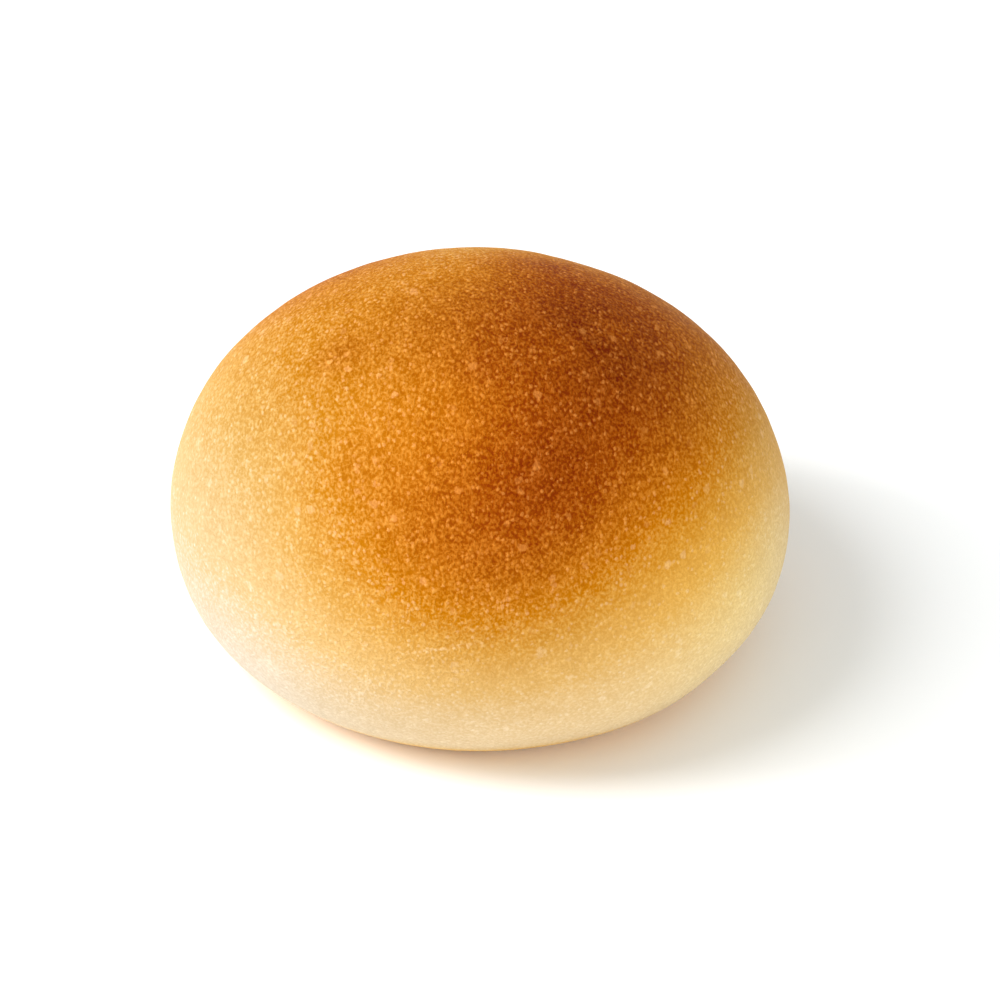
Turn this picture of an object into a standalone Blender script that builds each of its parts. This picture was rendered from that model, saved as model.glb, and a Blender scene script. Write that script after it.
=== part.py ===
"""A plain milk roll: one round, soft bread roll, baked on a flat tray and left whole.

Sizes are in metres and +Z is up. The origin is at the middle of the flat underside.
The roll's front faces -Y and its right side faces +X.
"""

import math
from dataclasses import dataclass

import bmesh
import bpy
from mathutils import Vector, noise

# Overall size of the roll
WIDTH = 0.088
DEPTH = 0.0855
HEIGHT = 0.0525

# Upright section: it is widest at the belly, domed above it and tucked in below it
BELLY_LEVEL = 0.0185
BASE_WIDTH = 0.066
DOME_FULLNESS = 2.02
TUCK_FULLNESS = 2.15

# The dough settles on the tray with a soft edge of this height
SETTLED_EDGE = 0.0014

# Below this height the swells and waves fade out, so that the underside stays flat
FLAT_FADE = 0.006

# Slow waves in the skin, left by rounding the dough by hand
WAVE_LENGTH = 0.021
WAVE_DEPTH = 0.00022

# Faces along each edge of the cube that the roll is shaped from
CELLS = 24

# Crust finish, as sRGB values from 0 to 1
CRUST_COLOUR = (0.87, 0.58, 0.26)
CRUST_ROUGHNESS = 0.55
CRUST_IOR = 1.45


@dataclass(frozen=True)
class Swell:
    """A broad rise of the surface around one direction, or a hollow where the height is negative."""

    bearing: float
    """Degrees round the roll, from its right side towards its back."""
    slope: float
    """Degrees up from the level of the belly."""
    spread: float
    """Degrees from the middle at which about a third of the height is left."""
    height: float
    """Height of the rise at its middle, in metres."""


SWELLS = (
    Swell(bearing=-35, slope=-5, spread=40, height=0.0005),
    Swell(bearing=150, slope=35, spread=45, height=0.0005),
    Swell(bearing=-105, slope=-20, spread=30, height=-0.0005),
)


def clear_scene():
    """Remove every object of the open scene."""
    for old in list(bpy.data.objects):
        bpy.data.objects.remove(old, do_unlink=True)


def linear(colour):
    """Turn an sRGB colour into the linear one that a shader takes."""
    return [c / 12.92 if c <= 0.04045 else ((c + 0.055) / 1.055) ** 2.4 for c in colour]


def crust_material():
    """Golden-brown baked crust, soft and almost matte."""
    material = bpy.data.materials.new("crust")
    material.use_nodes = True
    shader = material.node_tree.nodes["Principled BSDF"]
    shader.inputs["Base Color"].default_value = (*linear(CRUST_COLOUR), 1.0)
    shader.inputs["Roughness"].default_value = CRUST_ROUGHNESS
    shader.inputs["Metallic"].default_value = 0.0
    shader.inputs["IOR"].default_value = CRUST_IOR
    return material


def superellipse(fullness, angle):
    """Point of a unit superellipse at an angle from its upright axis: distance out, distance along."""
    return abs(math.sin(angle)) ** (2 / fullness), abs(math.cos(angle)) ** (2 / fullness)


def tuck_depth():
    """Depth below the belly at which the tucked-in curve would close if no tray cut it at the base width."""
    across = (BASE_WIDTH / WIDTH) ** TUCK_FULLNESS
    return BELLY_LEVEL / (1 - across) ** (1 / TUCK_FULLNESS)


def settle(height):
    """Hold a height at or above the tray, with a soft edge where the side meets the flat underside."""
    soft = max(SETTLED_EDGE - abs(height), 0.0) ** 2 / (4 * SETTLED_EDGE)
    return max(height, 0.0) + soft


def section(angle):
    """Upright section at an angle from the top: share of the full width, and height over the tray."""
    if angle <= math.pi / 2:
        out, along = superellipse(DOME_FULLNESS, angle)
        return out, BELLY_LEVEL + (HEIGHT - BELLY_LEVEL) * along
    out, along = superellipse(TUCK_FULLNESS, angle)
    return out, settle(BELLY_LEVEL - tuck_depth() * along)


def swell_height(direction):
    """Sum of all the swells in one direction."""
    total = 0.0
    for swell in SWELLS:
        bearing, slope = math.radians(swell.bearing), math.radians(swell.slope)
        level = math.cos(slope)
        middle = Vector((level * math.cos(bearing), level * math.sin(bearing), math.sin(slope)))
        away = direction.angle(middle) / math.radians(swell.spread)
        total += swell.height * math.exp(-away * away)
    return total


def shaped(direction):
    """Point of the roll's skin that belongs to a direction from the middle of a ball."""
    out, height = section(direction.angle(Vector((0, 0, 1))))
    flat = Vector((direction.x, direction.y, 0))
    if flat.length > 0:
        flat.normalize()
    point = Vector((flat.x * out * WIDTH / 2, flat.y * out * DEPTH / 2, height))
    uneven = swell_height(direction) + WAVE_DEPTH * noise.noise(point / WAVE_LENGTH)
    return point + direction * uneven * min(height / FLAT_FADE, 1.0)


def fit_to_size(form):
    """Bring the shape to its overall size, with the middle of its underside at the origin."""
    size = Vector((WIDTH, DEPTH, HEIGHT))
    low = Vector([min(v.co[axis] for v in form.verts) for axis in range(3)])
    high = Vector([max(v.co[axis] for v in form.verts) for axis in range(3)])
    middle = Vector(((low.x + high.x) / 2, (low.y + high.y) / 2, low.z))
    for vertex in form.verts:
        for axis in range(3):
            share = size[axis] / (high[axis] - low[axis])
            vertex.co[axis] = (vertex.co[axis] - middle[axis]) * share


def make_roll():
    """The whole roll as one closed skin, shaped from an evenly divided cube."""
    form = bmesh.new()
    bmesh.ops.create_cube(form, size=2.0)
    bmesh.ops.subdivide_edges(form, edges=form.edges[:], cuts=CELLS - 1, use_grid_fill=True)
    for vertex in form.verts:
        vertex.co = shaped(vertex.co.normalized())
    fit_to_size(form)
    bmesh.ops.triangulate(form, faces=form.faces[:])
    bmesh.ops.recalc_face_normals(form, faces=form.faces[:])
    mesh = bpy.data.meshes.new("milk_roll")
    form.to_mesh(mesh)
    form.free()
    mesh.shade_smooth()
    mesh.materials.append(crust_material())
    return bpy.data.objects.new("milk_roll", mesh)


def main():
    """Build the roll in a collection of its own."""
    clear_scene()
    parts = bpy.data.collections.new("Milk roll")
    bpy.context.scene.collection.children.link(parts)
    parts.objects.link(make_roll())


main()
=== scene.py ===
"""A milk roll on a plain white sweep of paper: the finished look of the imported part.

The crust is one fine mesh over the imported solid's own form. Everything is in metres, with +Z up, in the frame
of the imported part: the roll's front faces -Y, its right side +X, and it rests on the floor at Z 0.
"""

from __future__ import annotations

import logging
import math
from collections.abc import Sequence
from dataclasses import dataclass
from enum import Enum

import bmesh
import bpy
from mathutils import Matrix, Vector, kdtree, noise
from mathutils.bvhtree import BVHTree


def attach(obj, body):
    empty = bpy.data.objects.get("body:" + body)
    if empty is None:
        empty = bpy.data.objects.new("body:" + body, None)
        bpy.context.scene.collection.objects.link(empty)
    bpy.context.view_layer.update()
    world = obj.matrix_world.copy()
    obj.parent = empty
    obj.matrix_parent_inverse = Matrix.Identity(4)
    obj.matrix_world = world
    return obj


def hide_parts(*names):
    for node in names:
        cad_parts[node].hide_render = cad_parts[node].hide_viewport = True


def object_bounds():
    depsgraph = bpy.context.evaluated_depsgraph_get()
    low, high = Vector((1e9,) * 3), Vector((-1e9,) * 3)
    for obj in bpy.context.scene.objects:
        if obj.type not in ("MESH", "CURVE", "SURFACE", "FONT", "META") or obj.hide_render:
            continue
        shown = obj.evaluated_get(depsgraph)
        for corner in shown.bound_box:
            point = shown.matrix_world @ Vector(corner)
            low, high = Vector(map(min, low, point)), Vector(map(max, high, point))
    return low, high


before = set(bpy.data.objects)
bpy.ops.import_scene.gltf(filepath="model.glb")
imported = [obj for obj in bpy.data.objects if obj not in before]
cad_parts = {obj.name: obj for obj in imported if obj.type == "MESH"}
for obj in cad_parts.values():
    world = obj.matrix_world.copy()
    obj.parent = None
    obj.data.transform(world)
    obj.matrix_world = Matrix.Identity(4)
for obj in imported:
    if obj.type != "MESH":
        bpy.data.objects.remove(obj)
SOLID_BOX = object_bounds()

LOG = logging.getLogger("milk_roll")
NODE = "milk_roll"
BODY = "root"
MM = 0.001

# The roll's heart, from which all directions on its skin are taken
HEART = (SOLID_BOX[0] + SOLID_BOX[1]) / 2

# Carries a value from one range to another without a sharp bend
SMOOTH = {"interpolation_type": "SMOOTHSTEP"}


def linear(colour: str) -> tuple[float, float, float, float]:
    """Turn an sRGB hex colour into the linear colour that a shader takes.

    Args:
        colour: Hex colour such as "#F7BA62".

    Returns:
        Red, green, blue and an alpha of 1.
    """
    parts = [int(colour[start:start + 2], 16) / 255 for start in (1, 3, 5)]
    red, green, blue = (c / 12.92 if c <= 0.04045 else ((c + 0.055) / 1.055) ** 2.4 for c in parts)
    return red, green, blue, 1.0


def add_node(
    tree: bpy.types.NodeTree,
    kind: str,
    settings: dict[str, object] | None = None,
    inputs: dict[str | int, object] | Sequence[object] = (),
) -> bpy.types.Node:
    """Add a node with its settings, and set or link its inputs.

    Args:
        tree: The node tree that takes the node.
        kind: Blender's name for the kind of node.
        settings: The node's own properties, by name.
        inputs: What its inputs take, by name or place, or as a list that starts at the first one. A socket
            is linked, a node is linked by the first of its outputs in use, and anything else is set.

    Returns:
        The new node.
    """
    node = tree.nodes.new(kind)
    for name, value in (settings or {}).items():
        setattr(node, name, value)
    for place, value in inputs.items() if isinstance(inputs, dict) else enumerate(inputs):
        if isinstance(value, bpy.types.Node):
            value = next(socket for socket in value.outputs if socket.enabled)
        if isinstance(value, bpy.types.NodeSocket):
            tree.links.new(value, node.inputs[place])
        else:
            node.inputs[place].default_value = value
    return node


def heading(bearing: float, slope: float) -> Vector:
    """Direction out of the roll's heart.

    Args:
        bearing: Degrees round the roll, from its right side towards its back.
        slope: Degrees up from level.

    Returns:
        The unit vector.
    """
    turn, rise = math.radians(bearing), math.radians(slope)
    return Vector((math.cos(rise) * math.cos(turn), math.cos(rise) * math.sin(turn), math.sin(rise)))


def smoothstep(low: float, high: float, value: float) -> float:
    """Rise smoothly from 0 at the low value to 1 at the high one."""
    share = min(max((value - low) / (high - low), 0.0), 1.0)
    return share * share * (3 - 2 * share)


class Bake(Enum):
    """Stages of browning of a soft wheat crust: how far each is, from 0 to 1, and its colour.

    The colours come from a fit to the average colours of the photograph's roll, with changes after the fit.
    """

    FLOUR = (0.00, "#EDE9D8")
    DOUGH = (0.10, "#E5D9BB")
    CREAM = (0.21, "#DAC4A0")
    STRAW = (0.32, "#D5AB69")
    GOLD = (0.44, "#C89242")
    AMBER = (0.56, "#BB7720")
    CHESTNUT = (0.67, "#A96113")
    UMBER = (0.79, "#904604")
    SCORCH = (0.90, "#753302")
    CHAR = (1.00, "#5A1E01")


@dataclass(frozen=True)
class SkinPatch:
    """A broad patch of the skin that got more of something, or less where the amount is negative.

    Bearing and slope are in degrees, as in heading. The spread is in degrees too: that far from its middle a
    patch still has about a third of its amount.
    """

    bearing: float
    slope: float
    spread: float
    amount: float

    def at(self, out: Vector) -> float:
        """How much the patch adds in one direction out of the roll's heart."""
        away = out.angle(heading(self.bearing, self.slope)) / math.radians(self.spread)
        return self.amount * math.exp(-away * away)


@dataclass(frozen=True)
class Blister:
    """A thin gas blister in the skin, paler than the crust round it.

    Bearing and slope are in degrees, as in heading, and the width in metres. A sunk blister has fallen in at
    its middle, which leaves a pale ring.
    """

    bearing: float
    slope: float
    width: float
    sunk: bool = False


@dataclass(frozen=True)
class Crease:
    """A faint fold in the skin: a thin pale line between two directions, each a bearing and a slope.

    The width is in metres.
    """

    start: tuple[float, float]
    end: tuple[float, float]
    width: float


@dataclass(frozen=True)
class BakedMilkCrust:
    """Baked milk-dough crust: starch gelled by steam to a thin soft skin, then browned by milk sugar.

    The eye sees a nearly matte skin with a dense grain of small pale beads and browner gaps, cloudy
    unevenness of a few millimetres, and colour that runs from cream to dark brown. The beads are drawn at
    their true size, about four pixels across.
    """

    ior: float = 1.45
    roughness: float = 0.56
    # The gelled starch dries to a dull film, which gives back little of the gloss of a smooth skin
    gloss_share: float = 0.03
    # The grain is half as long again from front to back, the way that the dough was rolled
    stretch: tuple[float, float, float] = (1.0, 0.66, 1.0)

    # Beads: their pitch, how far the crumb pushes their edges about, and how high they stand
    bead_pitch: float = 0.64 * MM
    bead_jitter: float = 0.40 * MM
    bead_relief: float = 0.08 * MM
    # A bead falls away between these distances from its middle, in pitches
    bead_edge: tuple[float, float] = (0.0, 0.68)
    # Beads make this share of the grain's height, and a finer crumb between two levels makes the rest
    bead_share: float = 0.45
    crumb_pitch: float = 0.38 * MM
    crumb_levels: tuple[float, float] = (0.37, 0.69)

    # The palest beads have a crisp middle, come only above some chance, and have this strength
    core_edge: tuple[float, float] = (0.26, 0.42)
    core_chance: tuple[float, float] = (0.5, 0.95)
    core_strength: float = 0.9

    # Pale flecks lie over small gas bubbles, with an outline that wobbles
    fleck_pitch: float = 2.1 * MM
    wobble_pitch: float = 1.0 * MM
    wobble_reach: float = 1.3 * MM
    fleck_edge: tuple[float, float] = (0.16, 0.30)
    fleck_chance: tuple[float, float] = (0.4, 1.0)
    fleck_strength: float = 0.9

    # Blisters are pale above these heights, and the grain makes their edge ragged
    blister_edge: tuple[float, float] = (0.75, 1.25)
    blister_raggedness: float = 0.6
    blister_strength: float = 0.75

    # The crease: its edge in widths, where it fades in lengths from its middle, and its strength
    crease_edge: tuple[float, float] = (0.1, 0.75)
    crease_fade: tuple[float, float] = (0.2, 0.5)
    crease_strength: float = 1.7

    # What lifts the skin's tone: the grain over its usual level, clouds, and what is pale
    usual_grain: float = 0.64
    cloud_pitch: float = 2.8 * MM
    cloud_share: float = 0.6
    pale_share: float = 0.25

    # How far the grain moves the browning, on pale and on brown crust, and what it loses on scorched crust
    grain_depth: tuple[float, float] = (0.04, 0.16)
    grain_growth: tuple[float, float] = (0.2, 0.65)
    scorched: tuple[float, float] = (0.65, 0.9)
    scorched_loss: float = 0.09
    # Painted shade: the colour darkens in the gaps between the beads, and lightens where the rise is above
    # zero, by this share of the rise
    painted_gap_shade: float = 0.15
    # Richest colour, over the ramp's own: more red and no blue
    golden: tuple[float, float, float, float] = (1.35, 1.04, 0.0, 1.0)

    # Raised and pale spots have a veil, almost white on pale crust and light brown on brown crust
    brown_crust: tuple[float, float] = (0.35, 0.7)
    grain_veil: float = 0.17
    pale_veil: tuple[float, float] = (0.12, 0.24)
    pale_bloom: str = "#FFF3E2"
    brown_bloom: str = "#FDA855"

    def build(self) -> bpy.types.Material:
        """Make the material.

        Returns:
            The material, which reads browning, golden, blister and crease from the mesh.
        """
        material = bpy.data.materials.new("baked_milk_crust")
        material.use_nodes = True
        tree = material.node_tree
        where = add_node(tree, "ShaderNodeTexCoord").outputs["Object"]
        place = add_node(tree, "ShaderNodeVectorMath", {"operation": "MULTIPLY"}, [where, self.stretch])
        browning = add_node(tree, "ShaderNodeAttribute", {"attribute_name": "browning"}).outputs["Fac"]
        grain, core = self.beads(tree, place)
        pale = self.pale_spots(tree, place, grain)
        rise = self.rise(tree, place, grain, pale)
        baked = self.baked(tree, browning, rise)
        palest = add_node(tree, "ShaderNodeMath", {"operation": "MAXIMUM"}, [pale, core])
        skin = self.veiled(tree, browning, rise, palest, baked)
        bump = add_node(tree, "ShaderNodeBump", None,
                        {"Strength": 1.0, "Distance": self.bead_relief, "Height": grain})
        shader = tree.nodes["Principled BSDF"]
        tree.links.new(skin, shader.inputs["Base Color"])
        tree.links.new(bump.outputs["Normal"], shader.inputs["Normal"])
        shader.inputs["Roughness"].default_value = self.roughness
        shader.inputs["IOR"].default_value = self.ior
        shader.inputs["Specular IOR Level"].default_value = self.gloss_share
        return material

    def beads(
        self, tree: bpy.types.NodeTree, place: bpy.types.Node
    ) -> tuple[bpy.types.Node, bpy.types.Node]:
        """Dense soft beads of skin, uneven in size, shape and height, with browner gaps between them.

        Args:
            tree: The node tree that takes the nodes.
            place: The point of the skin.

        Returns:
            Height of the grain, from 0 in the gaps to 1, and how much a point is in one of the palest beads.
        """
        crumb = add_node(tree, "ShaderNodeTexNoise", None,
                         {"Vector": place, "Scale": 1 / self.crumb_pitch, "Detail": 1.5, "Roughness": 0.6})
        shifted = add_node(tree, "ShaderNodeVectorMath", {"operation": "MULTIPLY_ADD"},
                           [crumb.outputs["Color"], (self.bead_jitter,) * 3, place])
        cells = add_node(tree, "ShaderNodeTexVoronoi", {"feature": "F1"},
                         {"Vector": shifted, "Scale": 1 / self.bead_pitch})
        away = cells.outputs["Distance"]
        bead = add_node(tree, "ShaderNodeMapRange", SMOOTH, [away, *self.bead_edge, 1, 0])
        fine = add_node(tree, "ShaderNodeMapRange", SMOOTH, [crumb.outputs["Fac"], *self.crumb_levels, 0, 1])
        rest = add_node(tree, "ShaderNodeMath", {"operation": "MULTIPLY"}, [fine, 1 - self.bead_share])
        grain = add_node(tree, "ShaderNodeMath", {"operation": "MULTIPLY_ADD"}, [bead, self.bead_share, rest])
        middle = add_node(tree, "ShaderNodeMapRange", SMOOTH, [away, *self.core_edge, 1, 0])
        colours = add_node(tree, "ShaderNodeSeparateColor", None, [cells.outputs["Color"]])
        chance = add_node(tree, "ShaderNodeMapRange", SMOOTH,
                          [colours.outputs["Red"], *self.core_chance, 0, self.core_strength])
        core = add_node(tree, "ShaderNodeMath", {"operation": "MULTIPLY"}, [middle, chance])
        return grain, core

    def pale_spots(
        self, tree: bpy.types.NodeTree, place: bpy.types.Node, grain: bpy.types.Node
    ) -> bpy.types.Node:
        """Everything pale that is larger than a bead: blisters, flecks and the crease.

        Args:
            tree: The node tree that takes the nodes.
            place: The point of the skin.
            grain: Height of the grain, which makes the edges ragged.

        Returns:
            How pale a point is, from 0 to about 1.
        """
        height = add_node(tree, "ShaderNodeAttribute", {"attribute_name": "blister"}).outputs["Fac"]
        ragged = add_node(tree, "ShaderNodeMath", {"operation": "MULTIPLY_ADD"},
                          [grain, self.blister_raggedness, height])
        blister = add_node(tree, "ShaderNodeMapRange", SMOOTH,
                           [ragged, *self.blister_edge, 0, self.blister_strength])
        crease = add_node(tree, "ShaderNodeMath", {"operation": "MULTIPLY"}, [self.crease(tree), grain])
        flecks = self.flecks(tree, place)
        spots = add_node(tree, "ShaderNodeMath", {"operation": "MAXIMUM"}, [blister, flecks])
        return add_node(tree, "ShaderNodeMath", {"operation": "MAXIMUM"}, [spots, crease])

    def flecks(self, tree: bpy.types.NodeTree, place: bpy.types.Node) -> bpy.types.Node:
        """Sparse pale flecks where a small gas bubble lies under the skin.

        Args:
            tree: The node tree that takes the nodes.
            place: The point of the skin.

        Returns:
            How pale a point is.
        """
        wobble = add_node(tree, "ShaderNodeTexNoise", None,
                          {"Vector": place, "Scale": 1 / self.wobble_pitch, "Detail": 2.0})
        shifted = add_node(tree, "ShaderNodeVectorMath", {"operation": "MULTIPLY_ADD"},
                           [wobble.outputs["Color"], (self.wobble_reach,) * 3, place])
        cells = add_node(tree, "ShaderNodeTexVoronoi", {"feature": "F1"},
                         {"Vector": shifted, "Scale": 1 / self.fleck_pitch})
        away = cells.outputs["Distance"]
        shape = add_node(tree, "ShaderNodeMapRange", SMOOTH, [away, *self.fleck_edge, 1, 0])
        colours = add_node(tree, "ShaderNodeSeparateColor", None, [cells.outputs["Color"]])
        chance = add_node(tree, "ShaderNodeMapRange", SMOOTH,
                          [colours.outputs["Red"], *self.fleck_chance, 0, self.fleck_strength])
        return add_node(tree, "ShaderNodeMath", {"operation": "MULTIPLY"}, [shape, chance])

    def crease(self, tree: bpy.types.NodeTree) -> bpy.types.Node:
        """The faint crease: pale along its line, and fading out towards both ends.

        Args:
            tree: The node tree that takes the nodes.

        Returns:
            How strong the crease is at a point.
        """
        place = add_node(tree, "ShaderNodeAttribute", {"attribute_name": "crease"}).outputs["Vector"]
        across, along, _ = add_node(tree, "ShaderNodeSeparateXYZ", None, [place]).outputs
        beside = add_node(tree, "ShaderNodeMath", {"operation": "ABSOLUTE"}, [across])
        line = add_node(tree, "ShaderNodeMapRange", SMOOTH,
                        [beside, *self.crease_edge, self.crease_strength, 0])
        past = add_node(tree, "ShaderNodeMath", {"operation": "SUBTRACT"}, [along, 0.5])
        past = add_node(tree, "ShaderNodeMath", {"operation": "ABSOLUTE"}, [past])
        fade = add_node(tree, "ShaderNodeMapRange", SMOOTH, [past, *self.crease_fade, 1, 0])
        return add_node(tree, "ShaderNodeMath", {"operation": "MULTIPLY"}, [line, fade])

    def rise(
        self, tree: bpy.types.NodeTree, place: bpy.types.Node, grain: bpy.types.Node, pale: bpy.types.Node
    ) -> bpy.types.Node:
        """How much lighter a point is than the crust round it, by its grain, clouds and pale spots.

        Args:
            tree: The node tree that takes the nodes.
            place: The point of the skin.
            grain: Height of the grain.
            pale: How pale the point is.

        Returns:
            The rise in tone, about 0 on average.
        """
        clouds = add_node(tree, "ShaderNodeTexNoise", None,
                          {"Vector": place, "Scale": 1 / self.cloud_pitch, "Detail": 2.0, "Roughness": 0.65})
        rise = add_node(tree, "ShaderNodeMath", {"operation": "SUBTRACT"}, [grain, self.usual_grain])
        rise = add_node(tree, "ShaderNodeMath", {"operation": "MULTIPLY_ADD"},
                        [clouds.outputs["Fac"], self.cloud_share, rise])
        return add_node(tree, "ShaderNodeMath", {"operation": "MULTIPLY_ADD"}, [pale, self.pale_share, rise])

    def baked(
        self, tree: bpy.types.NodeTree, browning: bpy.types.NodeSocket, rise: bpy.types.Node
    ) -> bpy.types.Node:
        """Colour of the baked skin, browner in the gaps of its grain and darker there by painted shade.

        Args:
            tree: The node tree that takes the nodes.
            browning: How far the crust is browned, from 0 to 1.
            rise: How much lighter a point is than the crust round it.

        Returns:
            The colour.
        """
        depth = add_node(tree, "ShaderNodeMapRange", SMOOTH,
                         [browning, *self.grain_growth, *self.grain_depth])
        loss = add_node(tree, "ShaderNodeMapRange", SMOOTH,
                        [browning, *self.scorched, 0, self.scorched_loss])
        depth = add_node(tree, "ShaderNodeMath", {"operation": "SUBTRACT"}, [depth, loss])
        change = add_node(tree, "ShaderNodeMath", {"operation": "MULTIPLY"}, [rise, depth])
        tone = add_node(tree, "ShaderNodeMath", {"operation": "SUBTRACT"}, [browning, change])
        stages = add_node(tree, "ShaderNodeValToRGB", None, [tone])
        self.paint(stages.color_ramp)
        share = add_node(tree, "ShaderNodeAttribute", {"attribute_name": "golden"}).outputs["Fac"]
        rich = add_node(tree, "ShaderNodeMix",
                        {"data_type": "RGBA", "blend_type": "MULTIPLY", "clamp_factor": False},
                        {0: share, 6: stages, 7: self.golden})
        # Painted shade: the gaps of the grain darker and the raised grain lighter in colour
        painted_shade = add_node(tree, "ShaderNodeMath", {"operation": "MULTIPLY_ADD"}, [rise, self.painted_gap_shade, 1.0])
        return add_node(tree, "ShaderNodeVectorMath", {"operation": "SCALE"}, {0: rich, "Scale": painted_shade})

    def paint(self, ramp: bpy.types.ColorRamp) -> None:
        """Lay the stages of browning along a colour ramp.

        Args:
            ramp: The ramp, which has a stop for each stage afterwards.
        """
        while len(ramp.elements) > 1:
            ramp.elements.remove(ramp.elements[-1])
        for stage in Bake:
            along, colour = stage.value
            stop = ramp.elements[0] if stage is Bake.FLOUR else ramp.elements.new(along)
            stop.position = along
            stop.color = linear(colour)

    def veiled(
        self,
        tree: bpy.types.NodeTree,
        browning: bpy.types.NodeSocket,
        rise: bpy.types.Node,
        pale: bpy.types.Node,
        baked: bpy.types.Node,
    ) -> bpy.types.NodeSocket:
        """Veil the beads and the pale spots of the baked skin.

        Args:
            tree: The node tree that takes the nodes.
            browning: How far the crust is browned, from 0 to 1.
            rise: How much lighter a point is than the crust round it.
            pale: How pale the point is.
            baked: Colour of the skin without the veil.

        Returns:
            The colour of the finished skin.
        """
        brown = add_node(tree, "ShaderNodeMapRange", SMOOTH, [browning, *self.brown_crust, 0, 1])
        strength = add_node(tree, "ShaderNodeMath", {"operation": "MULTIPLY"}, [brown, self.grain_veil])
        veil = add_node(tree, "ShaderNodeMath", {"operation": "MULTIPLY"}, [rise, strength])
        frost = add_node(tree, "ShaderNodeMapRange", SMOOTH, [brown, 0, 1, *self.pale_veil])
        veil = add_node(tree, "ShaderNodeMath", {"operation": "MULTIPLY_ADD"}, [pale, frost, veil])
        bloom = add_node(tree, "ShaderNodeMix", {"data_type": "RGBA"},
                         {0: brown, 6: linear(self.pale_bloom), 7: linear(self.brown_bloom)})
        skin = add_node(tree, "ShaderNodeMix", {"data_type": "RGBA", "clamp_factor": False},
                        {0: veil, 6: baked, 7: bloom})
        return skin.outputs[2]


@dataclass(frozen=True)
class SeamlessPaper:
    """White seamless photo paper: matte pulp with no gloss, so that the eye sees only light and shade."""

    colour: str = "#FDFDFD"
    roughness: float = 0.9

    def build(self) -> bpy.types.Material:
        """Make the material.

        Returns:
            The material.
        """
        material = bpy.data.materials.new("seamless_paper")
        material.use_nodes = True
        shader = material.node_tree.nodes["Principled BSDF"]
        shader.inputs["Base Color"].default_value = linear(self.colour)
        shader.inputs["Roughness"].default_value = self.roughness
        shader.inputs["Specular IOR Level"].default_value = 0.0
        return material


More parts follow.
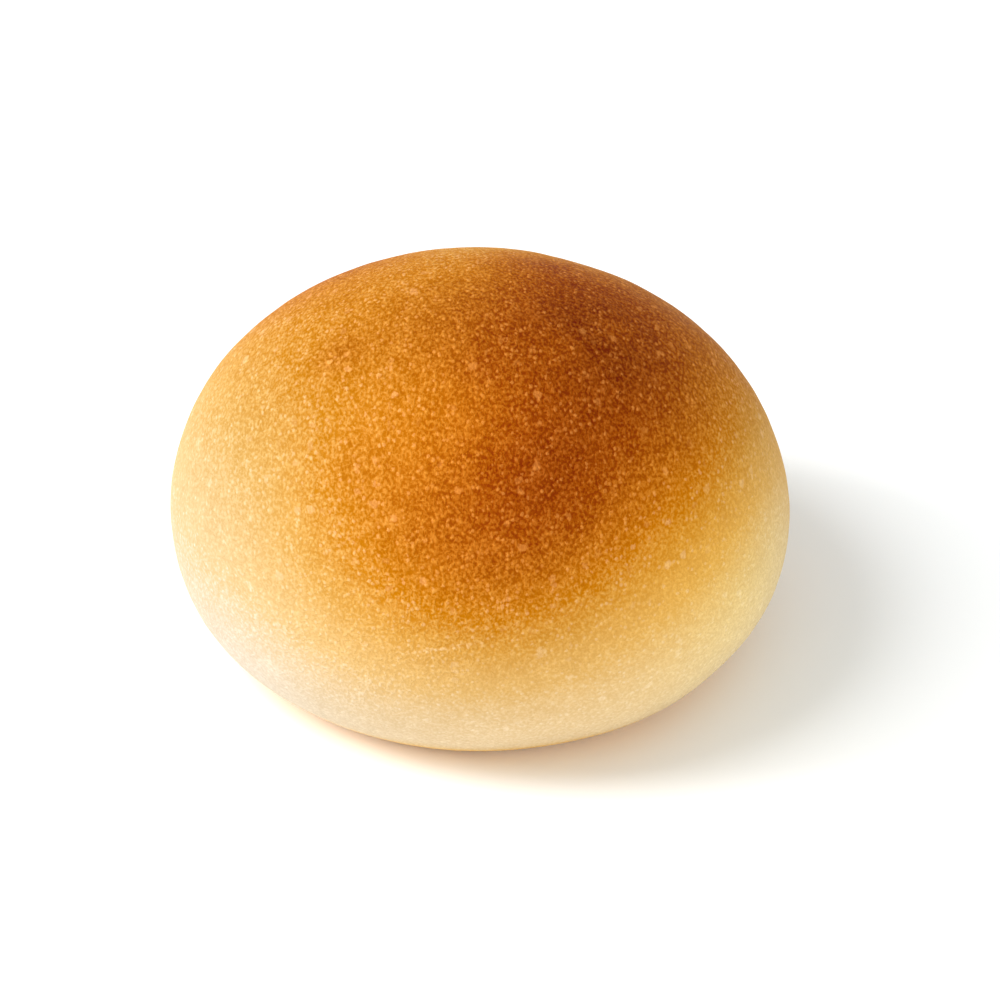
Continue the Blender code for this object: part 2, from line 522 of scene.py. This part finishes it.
@dataclass(frozen=True)
class RollCrust:
    """The roll's whole skin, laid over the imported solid."""

    # Faces along each edge of the cube that the skin is shaped from, and rounds that ease the facets away
    cells: int = 126
    smoothing_rounds: int = 14
    smoothing_step: float = 0.5

    # Slow dents and small puckers, which fade out over the foot so that the underside stays flat
    foot_height: float = 5.0 * MM
    dent_pitch: float = 9.0 * MM
    dent_depth: float = 0.10 * MM
    pucker_pitch: float = 3.0 * MM
    pucker_depth: float = 0.04 * MM

    # A blister's height, the shares of the way out over which its dome and its fallen middle end, and how
    # much of its height the fallen middle loses
    blister_rise: float = 0.10 * MM
    dome_edge: tuple[float, float] = (0.3, 1.1)
    sunk_edge: tuple[float, float] = (0.2, 0.7)
    sunk_share: float = 0.8

    # Browning of dough that no patch reaches, and of the underside, with its share of the golden colour
    dough_browning: float = 0.19
    underside_browning: float = 0.32
    underside_golden: float = 0.55
    # Upward part of the skin's normal where the tray starts to brown it, and where it is fully tray-browned
    tray_slopes: tuple[float, float] = (-0.58, -0.84)

    # More or less heat, as browning. These rows come from a fit to the photograph's colours, rounded
    patches: tuple[SkinPatch, ...] = (
        SkinPatch(bearing=-12, slope=42, spread=55, amount=0.73),
        SkinPatch(bearing=-160, slope=50, spread=54, amount=0.31),
        SkinPatch(bearing=128, slope=18, spread=31, amount=0.38),
        SkinPatch(bearing=-73, slope=25, spread=21, amount=0.27),
        SkinPatch(bearing=-33, slope=23, spread=26, amount=0.26),
        SkinPatch(bearing=-108, slope=17, spread=21, amount=0.18),
        SkinPatch(bearing=-25, slope=12, spread=35, amount=-0.51),
        SkinPatch(bearing=-89, slope=10, spread=17, amount=0.12),
        SkinPatch(bearing=62, slope=55, spread=15, amount=0.13),
        # This row makes the lower left rim paler: painted light where little light reaches it
        SkinPatch(bearing=-134, slope=-24, spread=17, amount=-0.03),
        SkinPatch(bearing=-157, slope=47, spread=7, amount=0.07),
        SkinPatch(bearing=-125, slope=29, spread=8, amount=0.04),
        SkinPatch(bearing=-40, slope=60, spread=8, amount=-0.06),
        SkinPatch(bearing=-8, slope=51, spread=6, amount=-0.08),
        SkinPatch(bearing=-89, slope=60, spread=6, amount=0.05),
    )
    # More or less milk sugar at the skin, as golden colour, from the same fit
    golden_patches: tuple[SkinPatch, ...] = (
        SkinPatch(bearing=56, slope=4, spread=71, amount=0.40),
        SkinPatch(bearing=-89, slope=36, spread=31, amount=0.48),
        SkinPatch(bearing=-43, slope=8, spread=24, amount=0.53),
        SkinPatch(bearing=-156, slope=5, spread=41, amount=-0.39),
    )
    # Some of the blisters that the photograph shows, marked on it one by one
    blisters: tuple[Blister, ...] = (
        Blister(bearing=-9, slope=51, width=1.4 * MM, sunk=True),
        Blister(bearing=-13, slope=55, width=1.7 * MM),
        Blister(bearing=-25, slope=67, width=1.1 * MM),
        Blister(bearing=-57, slope=55, width=1.3 * MM),
        Blister(bearing=-39, slope=41, width=1.6 * MM),
        Blister(bearing=-36, slope=58, width=1.4 * MM),
        Blister(bearing=-37, slope=35, width=1.5 * MM, sunk=True),
        Blister(bearing=64, slope=69, width=1.3 * MM),
        Blister(bearing=-92, slope=20, width=1.3 * MM),
        Blister(bearing=-105, slope=17, width=1.4 * MM),
        Blister(bearing=-156, slope=45, width=1.6 * MM),
        Blister(bearing=-141, slope=43, width=1.4 * MM),
        Blister(bearing=-133, slope=50, width=1.7 * MM),
        Blister(bearing=-130, slope=15, width=1.5 * MM),
        Blister(bearing=-111, slope=-3, width=2.0 * MM),
        Blister(bearing=-79, slope=-2, width=2.6 * MM),
        Blister(bearing=-94, slope=-8, width=1.4 * MM),
    )
    crease: Crease = Crease(start=(-106, -3.5), end=(-88, 0.5), width=0.5 * MM)
    # Stored on the far side of the roll in place of a distance from the crease, too large to show
    off_crease: float = 9.0

    def build(self) -> bpy.types.Object:
        """Make the crust piece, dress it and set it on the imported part.

        Returns:
            The piece.
        """
        form = self.laid_over_solid()
        mesh = bpy.data.meshes.new("roll_crust")
        form.to_mesh(mesh)
        form.free()
        mesh.shade_smooth()
        self.brown(mesh)
        self.raise_skin(mesh)
        self.crease_skin(mesh)
        mesh.materials.append(BakedMilkCrust().build())
        piece = bpy.data.objects.new("roll_crust", mesh)
        bpy.context.scene.collection.objects.link(piece)
        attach(piece, BODY)
        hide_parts(NODE)
        return piece

    def laid_over_solid(self) -> bmesh.types.BMesh:
        """Cast an evenly divided ball in onto the solid's faces, and ease the solid's facets away.

        Returns:
            The plain form of the skin.
        """
        tree = BVHTree.FromObject(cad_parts[NODE], bpy.context.evaluated_depsgraph_get())
        reach = (SOLID_BOX[1] - SOLID_BOX[0]).length
        form = bmesh.new()
        bmesh.ops.create_cube(form, size=2.0)
        bmesh.ops.subdivide_edges(form, edges=form.edges[:], cuts=self.cells - 1, use_grid_fill=True)
        for vertex in form.verts:
            # The tangent spaces the cube's points evenly round the ball
            even = Vector([math.tan(c * math.pi / 4) for c in vertex.co]).normalized()
            vertex.co = tree.ray_cast(HEART + even * reach, -even)[0]
        for _ in range(self.smoothing_rounds):
            bmesh.ops.smooth_vert(form, verts=form.verts[:], factor=self.smoothing_step,
                                  use_axis_x=True, use_axis_y=True, use_axis_z=True)
        return form

    def brown(self, mesh: bpy.types.Mesh) -> None:
        """Store how far each point of the skin is browned, and its share of the golden colour.

        Args:
            mesh: The plain skin.
        """
        browning = mesh.attributes.new("browning", "FLOAT", "POINT")
        golden = mesh.attributes.new("golden", "FLOAT", "POINT")
        for vertex in mesh.vertices:
            out = (vertex.co - HEART).normalized()
            tray = smoothstep(*self.tray_slopes, vertex.normal.z)
            heat = self.dough_browning + sum(patch.at(out) for patch in self.patches)
            share = 1 - math.exp(-sum(patch.at(out) for patch in self.golden_patches))
            browning.data[vertex.index].value = heat + (self.underside_browning - heat) * tray
            golden.data[vertex.index].value = share + (self.underside_golden - share) * tray

    def raise_skin(self, mesh: bpy.types.Mesh) -> None:
        """Raise the blisters and the slow unevenness of the skin, and store where the blisters are.

        Args:
            mesh: The plain skin.
        """
        store = mesh.attributes.new("blister", "FLOAT", "POINT")
        skin = kdtree.KDTree(len(mesh.vertices))
        for vertex in mesh.vertices:
            skin.insert((vertex.co - HEART).normalized(), vertex.index)
        skin.balance()
        points = [vertex.co.copy() for vertex in mesh.vertices]
        rises = [self.unevenness(point) for point in points]
        for blister in self.blisters:
            middle = points[skin.find(heading(blister.bearing, blister.slope))[1]]
            reach = blister.width / (middle - HEART).length
            for _, index, _ in skin.find_range((middle - HEART).normalized(), reach):
                share = 2 * (points[index] - middle).length / blister.width
                height = self.blister_form(share, blister.sunk)
                rises[index] += self.blister_rise * height
                store.data[index].value = max(store.data[index].value, height)
        normals = [vertex.normal.copy() for vertex in mesh.vertices]
        for vertex, rise, normal in zip(mesh.vertices, rises, normals):
            vertex.co += normal * rise * smoothstep(0.0, self.foot_height, vertex.co.z)

    def unevenness(self, point: Vector) -> float:
        """Height of the slow dents and small puckers of the skin at a point."""
        dent = noise.noise(point / self.dent_pitch) * self.dent_depth
        return dent + noise.noise(point / self.pucker_pitch) * self.pucker_depth

    def blister_form(self, share: float, sunk: bool) -> float:
        """Height of a blister, from 0 to 1, at a share of the way out to its edge."""
        fallen = self.sunk_share * (1 - smoothstep(*self.sunk_edge, share)) if sunk else 0.0
        return 1 - smoothstep(*self.dome_edge, share) - fallen

    def crease_skin(self, mesh: bpy.types.Mesh) -> None:
        """Store how far each point lies across the crease, in its widths, and along it, from 0 to 1.

        Args:
            mesh: The raised skin.
        """
        store = mesh.attributes.new("crease", "FLOAT_VECTOR", "POINT")
        start, end = heading(*self.crease.start), heading(*self.crease.end)
        chord, side = end - start, start.cross(end).normalized()
        for vertex in mesh.vertices:
            out = (vertex.co - HEART).normalized()
            across = side.dot(vertex.co - HEART) / self.crease.width
            along = (out - start).dot(chord) / chord.length_squared
            if out.dot(start) <= 0:
                across = along = self.off_crease
            store.data[vertex.index].vector = (across, along, 0)


@dataclass(frozen=True)
class SoftLight:
    """A round soft light, aimed at the roll's foot.

    Bearing and slope are in degrees, as in heading, distance and size in metres, and power in watts.
    """

    name: str
    bearing: float
    slope: float
    distance: float
    size: float
    power: float
    colour: str = "#FFFFFF"

    def hang(self) -> None:
        """Hang the light in the scene."""
        lamp = bpy.data.lights.new(self.name, "AREA")
        lamp.shape = "DISK"
        lamp.size = self.size
        lamp.energy = self.power
        lamp.color = linear(self.colour)[:3]
        light = bpy.data.objects.new(self.name, lamp)
        out = heading(self.bearing, self.slope)
        light.location = out * self.distance
        light.rotation_euler = out.to_track_quat("Z", "Y").to_euler()
        bpy.context.scene.collection.objects.link(light)


@dataclass(frozen=True)
class Studio:
    """White paper, two soft lights from the left, a weak one from the front right, and a pale surround."""

    floor_width: float = 3.0
    # The surround and the lights come from fits to the photograph's shadow and tones, rounded
    surround_strength: float = 0.655
    surround_colour: str = "#F6FDFF"
    lights: tuple[SoftLight, ...] = (
        SoftLight("low_left_light", bearing=180, slope=28, distance=1.3, size=0.6, power=11.6),
        SoftLight("high_left_light", bearing=190, slope=54, distance=1.3, size=0.6, power=7.9),
        SoftLight("front_fill_light", bearing=292, slope=25, distance=1.3, size=1.1, power=5.0,
                  colour="#FFF6EA"),
    )
    # The camera looks at a point over the origin, from the front and above. The lens is in millimetres, as
    # Blender takes it, and the frame is shifted by shares of its width. The camera's distance and shift come
    # from a fit to the photograph's outline
    lens: float = 100.0
    camera_distance: float = 0.3962
    camera_bearing: float = -90.0
    camera_slope: float = 35.3
    aim_height: float = 0.0185
    frame_shift: tuple[float, float] = (0.0203, 0.0045)
    nearest_shown: float = 0.01

    def build(self) -> None:
        """Lay the floor, hang the lights, set the surround and place the camera."""
        self.lay_floor()
        for light in self.lights:
            light.hang()
        self.surround()
        self.place_camera()

    def lay_floor(self) -> None:
        """Lay the white paper, flat and level under the roll."""
        sheet = bmesh.new()
        bmesh.ops.create_grid(sheet, x_segments=1, y_segments=1, size=self.floor_width / 2)
        mesh = bpy.data.meshes.new("paper_sweep")
        sheet.to_mesh(mesh)
        sheet.free()
        mesh.materials.append(SeamlessPaper().build())
        floor = bpy.data.objects.new("paper_sweep", mesh)
        bpy.context.scene.collection.objects.link(floor)

    def surround(self) -> None:
        """Set the even pale surround."""
        world = bpy.data.worlds.new("pale_surround")
        world.use_nodes = True
        sky = world.node_tree.nodes["Background"]
        sky.inputs["Color"].default_value = linear(self.surround_colour)
        sky.inputs["Strength"].default_value = self.surround_strength
        bpy.context.scene.world = world

    def place_camera(self) -> None:
        """Set the camera at the photograph's viewing angle."""
        lens = bpy.data.cameras.new("camera")
        lens.lens = self.lens
        lens.clip_start = self.nearest_shown
        lens.shift_x, lens.shift_y = self.frame_shift
        camera = bpy.data.objects.new("camera", lens)
        out = heading(self.camera_bearing, self.camera_slope)
        camera.location = Vector((0, 0, self.aim_height)) + out * self.camera_distance
        camera.rotation_euler = out.to_track_quat("Z", "Y").to_euler()
        bpy.context.scene.collection.objects.link(camera)
        bpy.context.scene.camera = camera
        bpy.context.scene.view_settings.view_transform = "Standard"


def main() -> None:
    """Build the roll's crust, then the floor, the lights, the surround and the camera."""
    logging.basicConfig(level=logging.INFO, format="%(message)s")
    crust = RollCrust().build()
    LOG.info("%s: %d faces", crust.name, len(crust.data.polygons))
    studio = Studio()
    studio.build()
    LOG.info("studio: paper sweep, %d soft lights, surround and camera", len(studio.lights))


if __name__ == "__main__":
    main()
